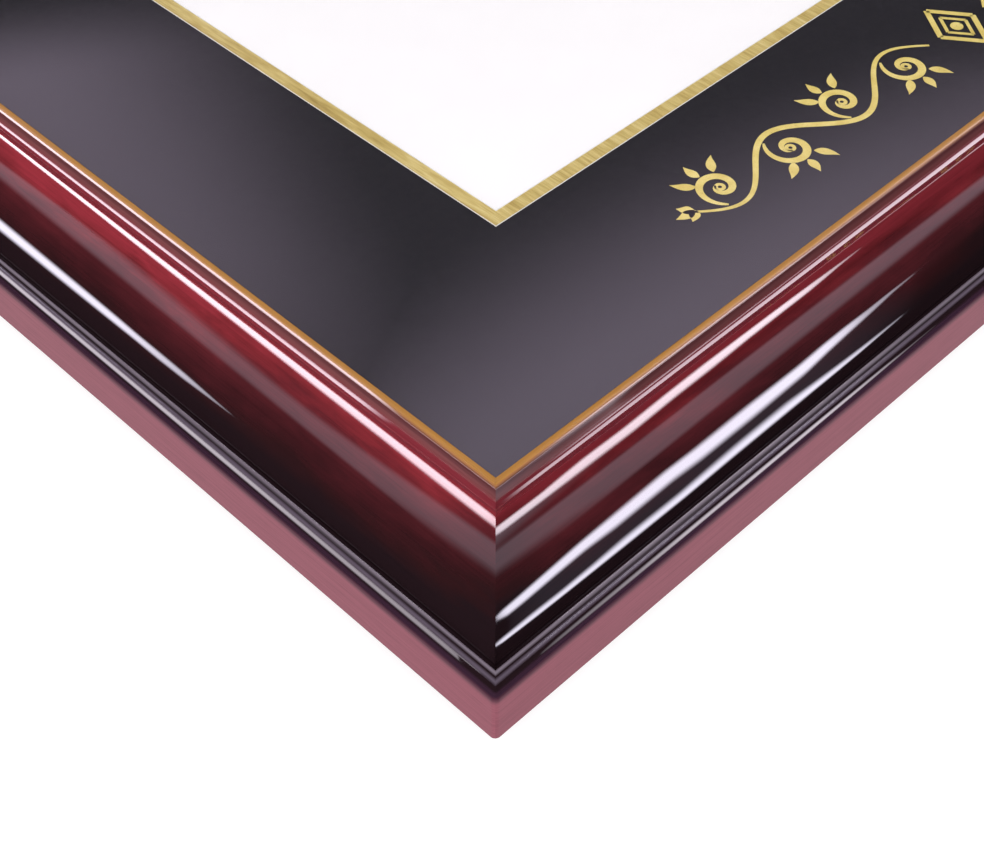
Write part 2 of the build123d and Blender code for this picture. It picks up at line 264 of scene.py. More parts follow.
def gilt():
    """Worn gold paint over the lip, brushed along its length."""
    k = Nodes("gilt")
    p = k.attr("prof")
    streak = k.noise(k.mapped(p, (0.03, 4.5, 1.0)), 1.0, 4.0, 0.6, 0.2)
    cloud = k.noise(k.mapped(p, (0.05, 0.4, 1.0)), 1.0, 3.0, 0.55)
    speck = k.noise(k.mapped(p, (2.2, 3.0, 1.0)), 1.0, 2.0, 0.5)
    col = k.ramp(streak, [(0.25, (0.417, 0.172, 0.024)), (0.5, (0.572, 0.259, 0.044)), (0.75, (0.695, 0.360, 0.076))])
    col = k.mix(k.span(cloud, 0.45, 0.7, 0.0, 0.35), col, (0.503, 0.211, 0.030))
    col = k.mix(k.span(speck, 0.66, 0.74, 0.0, 0.5), col, (0.15, 0.06, 0.015))
    h = k.math("ADD", streak, k.math("MULTIPLY", speck, 0.3))
    b = k.principled(Base_Color=col, Metallic=0.12, Roughness=k.span(streak, 0.3, 0.7, 0.34, 0.46), Coat_Weight=0.8,
                     Coat_Roughness=0.10, Coat_IOR=1.5, Normal=k.bump(h, 0.10, 0.0001))
    return k.surface(b.outputs[0])


def glass_face():
    """Both faces of a clear pane in one layer: clear through, with its mirror share by Fresnel."""
    k = Nodes("glass_face")
    clear = k.n("ShaderNodeBsdfTransparent")
    clear.inputs["Color"].default_value = (0.985, 0.99, 0.986, 1)
    gloss = k.n("ShaderNodeBsdfGlossy")
    gloss.inputs["Roughness"].default_value = 0.0
    gloss.inputs["Color"].default_value = (1, 1, 1, 1)
    fres = k.n("ShaderNodeFresnel")
    fres.inputs["IOR"].default_value = 1.52
    front = k.math("SUBTRACT", 1.0, k.n("ShaderNodeNewGeometry").outputs["Backfacing"])
    share = k.math("MULTIPLY", k.math("MULTIPLY", fres.outputs[0], 1.75, True), front)
    mixer = k.n("ShaderNodeMixShader")
    k.put(mixer.inputs[0], share)
    k.put(mixer.inputs[1], clear.outputs[0])
    k.put(mixer.inputs[2], gloss.outputs[0])
    return k.surface(mixer.outputs[0])


def glass_edge():
    """Ground green edge and the inner face of the pane."""
    k = Nodes("glass_edge")
    clear = k.n("ShaderNodeBsdfTransparent")
    clear.inputs["Color"].default_value = (0.995, 1.0, 0.997, 1)
    return k.surface(clear.outputs[0])


def black_mat():
    """Black paper face of the mat board: fine felt fibre with a little bloom."""
    k = Nodes("black_mat")
    o = k.coords()
    fibre = k.noise(k.mapped(o, (1500, 1500, 1500)), 1.0, 4.0, 0.6, 0.6)
    felt = k.noise(k.mapped(o, (420, 420, 420)), 1.0, 4.0, 0.6, 0.4)
    cloud = k.noise(k.mapped(o, (60, 60, 60)), 1.0, 3.0, 0.5)
    tone = k.math("ADD", k.math("MULTIPLY", fibre, 0.45), k.math("ADD", k.math("MULTIPLY", felt, 0.35), k.math("MULTIPLY", cloud, 0.2)))
    col = k.ramp(tone, [(0.30, (0.0212, 0.0183, 0.0250)), (0.5, (0.0230, 0.0197, 0.0270)), (0.70, (0.0250, 0.0214, 0.0292))])
    b = k.principled(Base_Color=col, Roughness=k.span(felt, 0.3, 0.7, 0.72, 0.88), Specular_IOR_Level=0.25,
                     Normal=k.bump(k.math("ADD", fibre, felt), 0.03, 0.00005))
    return k.surface(b.outputs[0])


def mat_core():
    """White core of the mat board on its bevel, a little rough from the blade."""
    k = Nodes("mat_core")
    o = k.coords()
    layer = k.noise(k.mapped(o, (260, 260, 5200)), 1.0, 3.0, 0.6)
    col = k.ramp(layer, [(0.3, (0.66, 0.63, 0.60)), (0.7, (0.86, 0.84, 0.82))])
    b = k.principled(Base_Color=col, Roughness=0.85, Normal=k.bump(layer, 0.2, 0.00005))
    return k.surface(b.outputs[0])


def board_back():
    """Grey-white backing paper of the mat boards."""
    k = Nodes("board_back")
    o = k.coords()
    fibre = k.noise(k.mapped(o, (700, 700, 700)), 1.0, 4.0, 0.6, 0.5)
    col = k.ramp(fibre, [(0.3, (0.60, 0.58, 0.54)), (0.7, (0.74, 0.72, 0.68))])
    b = k.principled(Base_Color=col, Roughness=0.86, Normal=k.bump(fibre, 0.2, 0.00006))
    return k.surface(b.outputs[0])


def gold_mat():
    """Gold foil face of the inner mat, brushed one way, from bottom to top of the frame."""
    k = Nodes("gold_mat")
    o = k.coords()
    coarse = k.noise(k.mapped(o, (620, 55, 300)), 1.0, 3.0, 0.6, 0.5)
    fine = k.noise(k.mapped(o, (2600, 160, 300)), 1.0, 4.0, 0.62, 0.3)
    broad = k.noise(k.mapped(o, (150, 40, 60)), 1.0, 2.0, 0.5)
    v = k.math("ADD", k.math("MULTIPLY", coarse, 0.45), k.math("ADD", k.math("MULTIPLY", fine, 0.40), k.math("MULTIPLY", broad, 0.15)))
    col = k.ramp(v, [(0.32, (0.40, 0.265, 0.070)), (0.46, (0.60, 0.430, 0.135)), (0.56, (0.73, 0.560, 0.215)), (0.70, (0.88, 0.74, 0.40))])
    b = k.principled(Base_Color=col, Metallic=0.10, Roughness=k.span(fine, 0.3, 0.7, 0.34, 0.50),
                     Normal=k.bump(v, 0.35, 0.00012))
    return k.surface(b.outputs[0])


def gold_foil():
    """Hot-stamped gold foil of the mat ornament."""
    k = Nodes("gold_foil")
    o = k.coords()
    cloud = k.noise(k.mapped(o, (240, 240, 60)), 1.0, 3.0, 0.55)
    speck = k.noise(k.mapped(o, (1900, 1900, 300)), 1.0, 3.0, 0.6)
    col = k.ramp(cloud, [(0.3, (0.74, 0.55, 0.13)), (0.5, (0.82, 0.635, 0.18)), (0.7, (0.90, 0.72, 0.25))])
    col = k.mix(k.span(speck, 0.60, 0.72, 0.0, 0.45), col, (0.46, 0.29, 0.05))
    b = k.principled(Base_Color=col, Metallic=0.08, Roughness=k.span(speck, 0.3, 0.7, 0.34, 0.48),
                     Normal=k.bump(speck, 0.12, 0.00004))
    return k.surface(b.outputs[0])


def sheet_paper():
    """Heavy white paper with a faint laid fibre."""
    k = Nodes("sheet_paper")
    o = k.coords()
    fibre = k.noise(k.mapped(o, (900, 900, 900)), 1.0, 5.0, 0.6, 0.6)
    cloud = k.noise(k.mapped(o, (70, 70, 70)), 1.0, 3.0, 0.5)
    v = k.math("ADD", k.math("MULTIPLY", fibre, 0.6), k.math("MULTIPLY", cloud, 0.4))
    col = k.ramp(v, [(0.3, (0.925, 0.885, 0.915)), (0.7, (0.965, 0.93, 0.955))])
    b = k.principled(Base_Color=col, Roughness=0.75, Specular_IOR_Level=0.3, Normal=k.bump(fibre, 0.12, 0.00005))
    return k.surface(b.outputs[0])


def foam_paper():
    """White paper face and pale foam core of the filler board."""
    k = Nodes("foam_paper")
    o = k.coords()
    fibre = k.noise(k.mapped(o, (800, 800, 800)), 1.0, 3.0, 0.6)
    cell = k.voronoi(k.mapped(o, (2600, 2600, 2600)), 1.0)
    col = k.ramp(fibre, [(0.3, (0.80, 0.79, 0.76)), (0.7, (0.88, 0.87, 0.84))])
    b = k.principled(Base_Color=col, Roughness=0.8, Normal=k.bump(cell, 0.1, 0.00004))
    return k.surface(b.outputs[0])


def hardboard():
    """Brown pressed-fibre board: mottled fibres, darker shives and a dull skin."""
    k = Nodes("hardboard")
    o = k.coords()
    fibre = k.noise(k.mapped(o, (500, 1100, 900)), 1.0, 5.0, 0.65, 1.2)
    fibre2 = k.noise(k.mapped(o, (1300, 420, 900), rot=(0, 0, 0.6)), 1.0, 5.0, 0.65, 1.0)
    cloud = k.noise(k.mapped(o, (26, 26, 26)), 1.0, 4.0, 0.55)
    shive = k.voronoi(k.mapped(o, (210, 640, 400), rot=(0, 0, 0.35)), 1.0)
    v = k.math("ADD", k.math("MULTIPLY", fibre, 0.4), k.math("ADD", k.math("MULTIPLY", fibre2, 0.35), k.math("MULTIPLY", cloud, 0.25)))
    col = k.ramp(v, [(0.32, (0.105, 0.052, 0.026)), (0.5, (0.195, 0.108, 0.055)), (0.68, (0.32, 0.195, 0.108))])
    col = k.mix(k.span(shive, 0.04, 0.16, 0.6, 0.0), col, (0.085, 0.04, 0.02))
    b = k.principled(Base_Color=col, Roughness=k.span(fibre, 0.3, 0.7, 0.55, 0.78),
                     Normal=k.bump(k.math("ADD", fibre, fibre2), 0.25, 0.0001))
    return k.surface(b.outputs[0])


def plated_steel():
    """Bright zinc-plated sheet and wire, lightly scuffed."""
    k = Nodes("plated_steel")
    o = k.coords()
    spangle = k.voronoi(k.mapped(o, (900, 900, 900)), 1.0, out="Color")
    scuff = k.noise(k.mapped(o, (300, 2800, 900), rot=(0, 0, 0.5)), 1.0, 4.0, 0.6)
    cloud = k.noise(k.mapped(o, (220, 220, 220)), 1.0, 3.0, 0.5)
    tone = k.math("ADD", k.math("MULTIPLY", cloud, 0.7), k.math("MULTIPLY", k.sep(spangle)[0], 0.3))
    col = k.ramp(tone, [(0.25, (0.46, 0.45, 0.43)), (0.5, (0.58, 0.575, 0.56)), (0.8, (0.70, 0.70, 0.69))])
    b = k.principled(Base_Color=col, Metallic=1.0, Roughness=k.span(scuff, 0.3, 0.7, 0.24, 0.42),
                     Normal=k.bump(scuff, 0.10, 0.00004))
    return k.surface(b.outputs[0])


def screw_steel():
    """Yellowed zinc of the screws, mottled, with a fine grain in its polish."""
    k = Nodes("screw_steel")
    o = k.coords()
    cloud = k.noise(k.mapped(o, (500, 500, 500)), 1.0, 4.0, 0.6)
    turn = k.noise(k.mapped(o, (1800, 1800, 2600)), 1.0, 3.0, 0.6)
    col = k.ramp(cloud, [(0.3, (0.50, 0.43, 0.28)), (0.5, (0.62, 0.56, 0.42)), (0.7, (0.70, 0.67, 0.58))])
    b = k.principled(Base_Color=col, Metallic=1.0, Roughness=k.span(turn, 0.3, 0.7, 0.26, 0.44),
                     Normal=k.bump(turn, 0.08, 0.00003))
    return k.surface(b.outputs[0])


def bumper_rubber():
    """Soft dark rubber with dust in its fine grain."""
    k = Nodes("bumper_rubber")
    o = k.coords()
    grain = k.noise(k.mapped(o, (1500, 1500, 1500)), 1.0, 4.0, 0.6)
    dust = k.noise(k.mapped(o, (300, 300, 300)), 1.0, 4.0, 0.6)
    col = k.mix(k.span(dust, 0.5, 0.75, 0.0, 0.5), k.ramp(grain, [(0.3, (0.018, 0.017, 0.016)), (0.7, (0.040, 0.038, 0.036))]), (0.12, 0.11, 0.10))
    b = k.principled(Base_Color=col, Roughness=k.span(grain, 0.3, 0.7, 0.55, 0.75), Normal=k.bump(grain, 0.2, 0.00006))
    return k.surface(b.outputs[0])


M = {f.__name__: f() for f in (
    lacquered_wood, bare_wood, gilt, glass_face, glass_edge, black_mat, mat_core, board_back, gold_mat, gold_foil,
    sheet_paper, foam_paper, hardboard, plated_steel, screw_steel, bumper_rubber)}


# ------------------------------------------------------------------ mesh helpers (points in mm)
def piece(name, bm, mats, body, node=None, smooth_deg=35.0):
    """Turns a bmesh in millimetres into a piece that rides on a body, with a material slot of the record."""
    bmesh.ops.remove_doubles(bm, verts=bm.verts, dist=1e-4)
    bmesh.ops.dissolve_degenerate(bm, edges=bm.edges, dist=1e-5)
    bmesh.ops.recalc_face_normals(bm, faces=bm.faces)
    bmesh.ops.scale(bm, vec=(MM, MM, MM), verts=bm.verts)
    me = bpy.data.meshes.new(name)
    bm.to_mesh(me)
    bm.free()
    for m in mats:
        me.materials.append(M[m])
    me.shade_smooth()
    me.set_sharp_from_angle(angle=radians(smooth_deg))
    ob = bpy.data.objects.new(name, me)
    bpy.context.scene.collection.objects.link(ob)
    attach(ob, body)
    if node:
        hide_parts(*([node] if isinstance(node, str) else node))
    return ob


def arc_pts(c, r, d0, d1, n, sign=1.0):
    """Points of a circle at tilts d0..d1 degrees from straight up, inwards positive."""
    out = []
    for i in range(n + 1):
        a = radians(d0 + (d1 - d0) * i / n)
        out.append((c[0] + sign * r * sin(a), c[1] + sign * r * cos(a)))
    return out


# ------------------------------------------------------------------ sections of the wooden rail and the lip, (u, z above the rail back)
class Outline:
    """Runs of lines and tangent arcs, each carried on from the last one. A tilt is the angle of the
    surface's normal from straight up, in degrees, positive towards the inside of the frame."""

    def __init__(self, at, tilt):
        self.at, self.tilt, self.pts = at, tilt, [at]

    def line(self, length, n=1):
        t = radians(self.tilt)
        a = self.at
        for i in range(1, n + 1):
            self.at = (a[0] + length * i / n * cos(t), a[1] - length * i / n * sin(t))
            self.pts.append(self.at)

    def arc(self, r, tilt, n):
        k = r if tilt > self.tilt else -r
        c = (self.at[0] - k * sin(radians(self.tilt)), self.at[1] - k * cos(radians(self.tilt)))
        self.pts += arc_pts(c, abs(r), self.tilt, tilt, n, 1.0 if k > 0 else -1.0)[1:]
        self.at, self.tilt = self.pts[-1], tilt


def rail_section():
    crest_u, crest_z, dome_r, foot = 18.0, 19.6, 20.8, 80.0
    o = Outline((0.0, 0.3), -90.0)
    o.line(11.09, 5)
    o.arc(7.0, -72, 12)
    o.arc(1.0, -58, 6)
    o.arc(5.5, -40, 18)
    o.arc(1.0, -9, 14)
    o.arc(4.0, 5, 10)
    o.arc(0.6, 60, 14)
    o.line(0.72, 2)
    o.arc(0.35, -foot, 20)
    f = radians(foot)
    du, dz = o.at[0] - crest_u, o.at[1] - (crest_z - dome_r)
    foot_r = (dome_r ** 2 - du ** 2 - dz ** 2) / (2 * (dome_r + du * sin(f) - dz * cos(f)))
    o.arc(foot_r, math.degrees(atan2(du + foot_r * sin(f), dz - foot_r * cos(f))), 12)
    o.arc(dome_r, 0, 64)
    o.arc(22.6, 22, 32)
    o.arc(0.5, 38, 6)
    o.line(2.2, 4)
    o.arc(0.8, 29.5, 4)
    o.arc(22.0, 23.5, 12)
    o.arc(0.35, 9, 6)
    o.line((32.8 - o.at[0]) / cos(radians(9)), 3)
    o.arc(1.0, 24, 8)
    o.line((NOSE_U - 0.3 * (1 - sin(radians(24))) - o.at[0]) / cos(radians(24)), 2)
    o.arc(0.3, 90, 8)
    shown = len(o.pts)
    pts = o.pts + [(NOSE_U, LIP_SEAT), (WALL_U, LIP_SEAT), (WALL_U, 0.0), (18.0, 0.0), (9.0, 0.0), (0.3, 0.0)]
    return pts, shown


def lip_section():
    r, u0 = 0.7, NOSE_U + 0.06
    bend = (RAIL_W - u0 - r * (1 - sin(radians(34)))) / (sin(radians(34)) - sin(radians(28)))
    o = Outline((u0, LIP_SEAT - 0.02), -90.0)
    o.line(14.32 - LIP_SEAT - 0.04)
    o.at = (u0 + 0.05, 14.32 - 0.01)
    o.pts.append(o.at)
    o.tilt = 28.0
    o.arc(bend, 34, 24)
    o.pts = [q for q in o.pts if q[0] < RAIL_W - 0.3]
    o.at = o.pts[-1]
    c = (RAIL_W - r, o.at[1] - 0.42)
    o.pts += [(RAIL_W - 0.16, o.at[1] - 0.14), (RAIL_W - 0.05, o.at[1] - 0.30), (RAIL_W, o.at[1] - 0.52)]
    shown = len(o.pts)
    pts = o.pts + [(RAIL_W, LIP_UNDER + 0.02), (WALL_U + 0.1, LIP_UNDER + 0.02), (WALL_U + 0.1, LIP_SEAT - 0.02)]
    return pts, shown


def side_frame(side):
    """Half length, and the map from (along, inwards, up) to the model, for one side."""
    return {
        "bottom": (HX, lambda a, b, z: (a, -HY + b, z)),
        "top": (HX, lambda a, b, z: (-a, HY - b, z)),
        "left": (HY, lambda a, b, z: (-HX + b, -a, z)),
        "right": (HY, lambda a, b, z: (HX - b, a, z)),
    }[side]


def moulding(name, side, section, shown, number, round_r, seam, mats, node):
    """A mitred length of moulding: the section carried along one side, closed at both mitres."""
    half, put = side_frame(side)
    bm = bmesh.new()
    prof = bm.verts.layers.float_vector.new("prof")
    way, s = [], 0.0
    for i, q in enumerate(section):
        if i:
            s += hypot(q[0] - section[i - 1][0], q[1] - section[i - 1][1])
        way.append(s)
    steps, turn = 30, 6
    rows = []
    for (u, z), w in zip(section, way):
        line = []
        if u < round_r:
            r = round_r - u
            end = half - round_r
            arc = [(end + r * sin(radians(45 * i / turn)), round_r - r * cos(radians(45 * i / turn))) for i in range(turn + 1)]
        else:
            arc = [(half - u, u)] * (turn + 1)
        straight = [(arc[0][0] * (2 * i / steps - 1), u) for i in range(1, steps)]
        path = [(-a, b) for a, b in reversed(arc)] + straight + arc
        for j, (a, b) in enumerate(path):
            cut = half - b - seam                                  # hair of a seam at each mitre
            a = max(-cut, min(cut, a))
            v = bm.verts.new(put(a, b, z + BACK))
            v[prof] = (a + number * 613.0, w, number * 37.0)
            line.append(v)
        rows.append(line)
    n, m = len(rows), len(rows[0])
    for i in range(n):
        k = (i + 1) % n
        for j in range(m - 1):
            f = bm.faces.new((rows[i][j], rows[i][j + 1], rows[k][j + 1], rows[k][j]))
            f.material_index = 0 if i < shown else 1
    for j in (0, m - 1):
        f = bm.faces.new([rows[i][j] for i in range(n)])
        f.material_index = 1
        bmesh.ops.triangulate(bm, faces=[f])
    return piece(name, bm, mats, "frame", node)


rs, rshown = rail_section()
ls, lshown = lip_section()
for number, side in enumerate(("bottom", "left", "top", "right")):
    moulding("rail_%s_wood" % side, side, rs, rshown, number, CORNER_R, 0.0, ("lacquered_wood", "bare_wood"),
             "rail_" + side)
    moulding("lip_%s_gilt" % side, side, ls, lshown, number + 4, 0.0, 0.01, ("gilt", "bare_wood"),
             "gilt_lip_" + side)


# ------------------------------------------------------------------ mats, glass
def ring(bm, hx, hy, z):
    return [bm.verts.new((sx * hx, sy * hy, z)) for sx, sy in ((-1, -1), (1, -1), (1, 1), (-1, 1))]


def skirt(bm, a, b, mat):
    for i in range(4):
        k = (i + 1) % 4
        f = bm.faces.new((a[i], a[k], b[k], b[i]))
        f.material_index = mat


def mat_board(name, wx, wy, z, mats, node):
    """Mat board with a 45 degree window: face, white bevel, outer edge and backing."""
    bm = bmesh.new()
    e = 0.02
    top_out = ring(bm, GX, GY, z + MAT_T - e)
    top_in = ring(bm, wx, wy, z + MAT_T - e)
    low_in = ring(bm, wx - MAT_T, wy - MAT_T, z + e)
    low_out = ring(bm, GX, GY, z + e)
    skirt(bm, top_out, top_in, 0)
    skirt(bm, top_in, low_in, 1)
    skirt(bm, low_in, low_out, 2)
    skirt(bm, low_out, top_out, 1)
    return piece(name, bm, mats, "frame", node)


mat_board("mat_black", WIN_X, WIN_Y, Z_TOP, ("black_mat", "mat_core", "board_back"), "top_mat")
mat_board("mat_gold", WIN_X - REVEAL, WIN_Y - REVEAL, Z_INNER, ("gold_mat", "mat_core", "board_back"), "inner_mat")

bm = bmesh.new()
c = 0.25
rings = [ring(bm, GX - c, GY - c, Z_GLASS + 0.10), ring(bm, GX, GY, Z_GLASS + 0.10 + c),
         ring(bm, GX, GY, Z_GLASS + 1.98 - c), ring(bm, GX - c, GY - c, Z_GLASS + 1.98)]
bm.faces.new(rings[0]).material_index = 1
for a, b in zip(rings, rings[1:]):
    skirt(bm, a, b, 1)
bm.faces.new(rings[-1]).material_index = 0
piece("glass_pane", bm, ("glass_face", "glass_edge"), "frame", "glazing", 20.0)


# ------------------------------------------------------------------ gold foil ornament on the lower mat
def ribbon(bm, pts, widths, z, thick):
    """Flat stroke of changing width along a line of points."""
    n = len(pts)
    left, right = [], []
    for i, p in enumerate(pts):
        a, b = pts[max(i - 1, 0)], pts[min(i + 1, n - 1)]
        d = (b[0] - a[0], b[1] - a[1])
        m = hypot(*d) or 1.0
        nx, ny = -d[1] / m, d[0] / m
        w = widths[i] / 2
        left.append((p[0] + nx * w, p[1] + ny * w))
        right.append((p[0] - nx * w, p[1] - ny * w))
    rows = []
    for l, r in zip(left, right):
        rows.append([bm.verts.new((*l, z + thick)), bm.verts.new((*r, z + thick)),
                     bm.verts.new((*r, z)), bm.verts.new((*l, z))])
    for a, b in zip(rows, rows[1:]):
        for i in range(4):
            k = (i + 1) % 4
            bm.faces.new((a[i], a[k], b[k], b[i]))
    bm.faces.new(rows[0])
    bm.faces.new(rows[-1])


def spiral(cx, cy, r0, r1, a0, turns, n=64):
    out = []
    for i in range(n + 1):
        t = i / n
        r = r0 + (r1 - r0) * t ** 0.8
        a = a0 + 2 * pi * turns * t
        out.append((cx + r * cos(a), cy + r * sin(a)))
    return out


def leaf(x, y, ang, length, width, n=18, bend=0.25):
    pts, ws = [], []
    for i in range(n + 1):
        t = i / n
        a = ang + bend * (t - 0.5)
        pts.append((x + length * t * cos(a), y + length * t * sin(a)))
        ws.append(0.12 + width * sin(pi * t ** 0.75) ** 1.2)
    return pts, ws


ORN_Y = -HY + 64.5


def ornament():
    """A plain scroll band: a wave of stems with curls and leaves, the same on both sides of a lozenge."""
    bm = bmesh.new()
    z, th = Z_GLASS + 0.0, 0.05

    def both(pts, ws):
        for sx in (-1, 1):
            ribbon(bm, [(sx * p[0], ORN_Y + p[1]) for p in pts], ws, z, th)

    def taper(n, a, b, c):
        return [a + (b - a) * sin(pi * min(i / n, 1.0)) + (c - a) * (i / n) for i in range(n + 1)]

    amp, period, x0, x1 = 6.2, 46.0, 12.0, 104.0
    stem = []
    for i in range(161):
        t = i / 160
        x = x0 + (x1 - x0) * t
        stem.append((x, amp * sin(2 * pi * (x - x0) / period)))
    both(stem, taper(160, 0.7, 1.7, 0.7))
    # curls, one in each hollow of the wave
    for m in range(4):
        xc = x0 + period * (0.25 + 0.5 * m)
        up = -1 if m % 2 == 0 else 1
        cur = spiral(xc, up * 1.2, 6.4, 1.0, pi / 2 * -up + (0.55 if up > 0 else -0.55), 1.35 * (1 if up > 0 else -1))
        both(cur, [0.5 + 1.5 * sin(pi * (i / 64) ** 0.7) for i in range(65)])
        dot = spiral(xc, up * 1.2, 0.95, 0.95, 0, 1.0, 20)
        both(dot, [0.9] * 21)
        for ang, ln in ((0.75 * up, 8.5), (1.45 * up, 7.0), (2.2 * up, 8.5)):
            p, w = leaf(xc + 5.4 * cos(ang), up * 1.2 + 5.4 * sin(ang) * 1.05, ang, ln * 0.72, 2.3)
            both(p, w)
    # end of the band: a fleuron of three leaves
    for ang, ln in ((0.0, 10.0), (0.75, 7.5), (-0.75, 7.5)):
        p, w = leaf(x1 - 1.0, 0.0, ang, ln * 0.55, 2.6)
        both(p, w)
    # lozenge in the middle with a dot each way
    lo = [(0.0, 9.5), (7.0, 0.0), (0.0, -9.5), (-7.0, 0.0), (0.0, 9.5)]
    for s_ in (1.0, 0.55):
        for a, b in zip(lo, lo[1:]):
            seg = [(a[0] * s_ + (b[0] - a[0]) * s_ * i / 12, ORN_Y + a[1] * s_ + (b[1] - a[1]) * s_ * i / 12) for i in range(13)]
            ribbon(bm, seg, [1.3 * s_ + 0.2] * 13, z, th)
    ribbon(bm, [(0.9 * cos(2 * pi * i / 20), ORN_Y + 0.9 * sin(2 * pi * i / 20)) for i in range(21)], [1.6] * 21, z, th)
    bmesh.ops.scale(bm, vec=(MM, MM, MM), verts=bm.verts)
    bmesh.ops.recalc_face_normals(bm, faces=bm.faces)
    me = bpy.data.meshes.new("mat_ornament")
    bm.to_mesh(me)
    bm.free()
    me.materials.append(M["gold_foil"])
    ob = bpy.data.objects.new("mat_ornament", me)
    bpy.context.scene.collection.objects.link(ob)
    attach(ob, "frame")
    return ob


ornament()

# ------------------------------------------------------------------ finishes of the CAD pieces that stay
stays = {"certificate": "sheet_paper", "filler_board": "foam_paper", "back_panel": "hardboard",
         "corner_v_nails": "plated_steel", "turn_button_screws": "screw_steel", "hanger_screws": "screw_steel",
         "hanger_strap_left": "plated_steel", "hanger_strap_right": "plated_steel", "d_ring_left": "plated_steel",
         "d_ring_right": "plated_steel", "wall_bumpers": "bumper_rubber"}
for i in range(1, 9):
    stays["turn_button_%d" % i] = "plated_steel"
METAL = []
for node, mat in stays.items():
    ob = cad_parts[node]
    ob = ob if hasattr(ob, "data") else bpy.data.objects[ob]
    if mat in ("plated_steel", "screw_steel"):
        METAL.append(ob)
    ob.data.materials.clear()
    ob.data.materials.append(M[mat])

# ------------------------------------------------------------------ stage: floor, light, camera
scene = bpy.context.scene
scene.view_settings.view_transform = "Standard"
scene.view_settings.look = "None"
scene.view_settings.exposure = 0.0
scene.view_settings.gamma = 1.0

k = Nodes("floor_paper")
b = k.principled(Base_Color=(0.30, 0.30, 0.302, 1.0), Roughness=0.9, Specular_IOR_Level=0.1,
                 Emission_Color=(1.0, 0.99, 1.0, 1.0), Emission_Strength=0.82)
k.surface(b.outputs[0])
bm = bmesh.new()
bmesh.ops.create_grid(bm, x_segments=1, y_segments=1, size=12.0)
me = bpy.data.meshes.new("floor")
bm.to_mesh(me)
bm.free()
me.materials.append(k.mat)
floor = bpy.data.objects.new("floor", me)
scene.collection.objects.link(floor)
floor.visible_glossy = False

world = bpy.data.worlds.new("studio")
scene.world = world
world.use_nodes = True
world.node_tree.nodes["Background"].inputs["Color"].default_value = (1.0, 0.985, 1.0, 1)
world.node_tree.nodes["Background"].inputs["Strength"].default_value = 1.3
world.cycles_visibility.glossy = False

CORNER = Vector((-HX + 20, -HY + 20, BACK + 18)) * MM


def toward(az, el):
    return Vector((cos(radians(az)) * cos(radians(el)), sin(radians(az)) * cos(radians(el)), sin(radians(el))))


def stage_lamp(name, me, only):
    """A light that only shows in the polish of the named pieces."""
    ob = bpy.data.objects.new(name, me)
    scene.collection.objects.link(ob)
    ob.visible_camera = False
    ob.visible_diffuse = False
    ob.visible_shadow = False
    group = bpy.data.collections.new(name + "_on")
    for item in only:
        group.objects.link(bpy.data.objects[item] if isinstance(item, str) else item)
    ob.light_linking.receiver_collection = group
    return ob


def glow(k, strength, colour):
    """A clear sheet that sends out light."""
    em = k.n("ShaderNodeEmission")
    em.inputs["Color"].default_value = (*colour, 1)
    k.put(em.inputs["Strength"], strength)
    both = k.n("ShaderNodeAddShader")
    k.put(both.inputs[0], em.outputs[0])
    k.put(both.inputs[1], k.n("ShaderNodeBsdfTransparent").outputs[0])
    k.surface(both.outputs[0])
    return k.mat


def strip(name, rows, radiance, colour, only, soft=(0.25, 0.25), over=0.07):
    """A long lamp given by rows of (one edge, other edge, level), points in mm, soft at both edges."""
    k = Nodes(name)
    across, level, _ = k.sep(k.attr("lit"))
    edge = k.math("MULTIPLY", k.span(across, 0.0, soft[0], 0, 1, True), k.span(across, 1.0 - soft[1], 1.0, 1, 0, True))
    glow(k, k.math("MULTIPLY", k.math("MULTIPLY", edge, level), radiance), colour)
    bm = bmesh.new()
    lit = bm.verts.layers.float_vector.new("lit")
    last = None
    for a, b, level in rows:
        a, b = Vector(a), Vector(b)
        row = []
        for i in range(13):
            v = bm.verts.new(a.lerp(b, -over + (1 + 2 * over) * i / 12) * MM)
            v[lit] = (i / 12, level, 0)
            row.append(v)
        if last:
            for i in range(12):
                bm.faces.new((last[i], last[i + 1], row[i + 1], row[i]))
        last = row
    me = bpy.data.meshes.new(name)
    bm.to_mesh(me)
    bm.free()
    me.materials.append(k.mat)
    stage_lamp(name, me, only)


COOL, PINK = (0.89, 0.845, 1.0), (1.0, 0.90, 1.0)
ALONG_X = ["rail_bottom_wood", "rail_top_wood"]
ALONG_Y = ["rail_left_wood", "rail_right_wood"]
LIPS = ["lip_%s_gilt" % side for side in ("bottom", "left", "top", "right")]

# over the right shoulder: two long streaks on the outer dome of the near rail, and one on the left rail
strip("streak_high", [
    ((538, -816, 1528), (538, -662, 1583), 0.6), ((549, -889, 1491), (549, -606, 1595), 1),
    ((572, -885, 1483), (572, -580, 1592), 1), ((617, -848, 1480), (616, -521, 1587), 1),
    ((660, -826, 1469), (659, -463, 1580), 1), ((702, -868, 1429), (701, -428, 1566), 1),
    ((782, -838, 1400), (782, -369, 1535), 1), ((821, -870, 1363), (820, -390, 1513), 1),
    ((894, -846, 1331), (893, -370, 1476), 1), ((963, -789, 1315), (962, -393, 1433), 1),
    ((996, -703, 1330), (995, -369, 1417), 0.95), ((1028, -637, 1334), (1027, -367, 1398), 0.75),
    ((1058, -579, 1332), (1058, -392, 1375), 0.42), ((1088, -502, 1334), (1088, -402, 1354), 0.28),
    ((1117, -471, 1321), (1117, -419, 1332), 0.1)], 21.5, COOL, ALONG_X, (0.40, 0.36), 0.0)
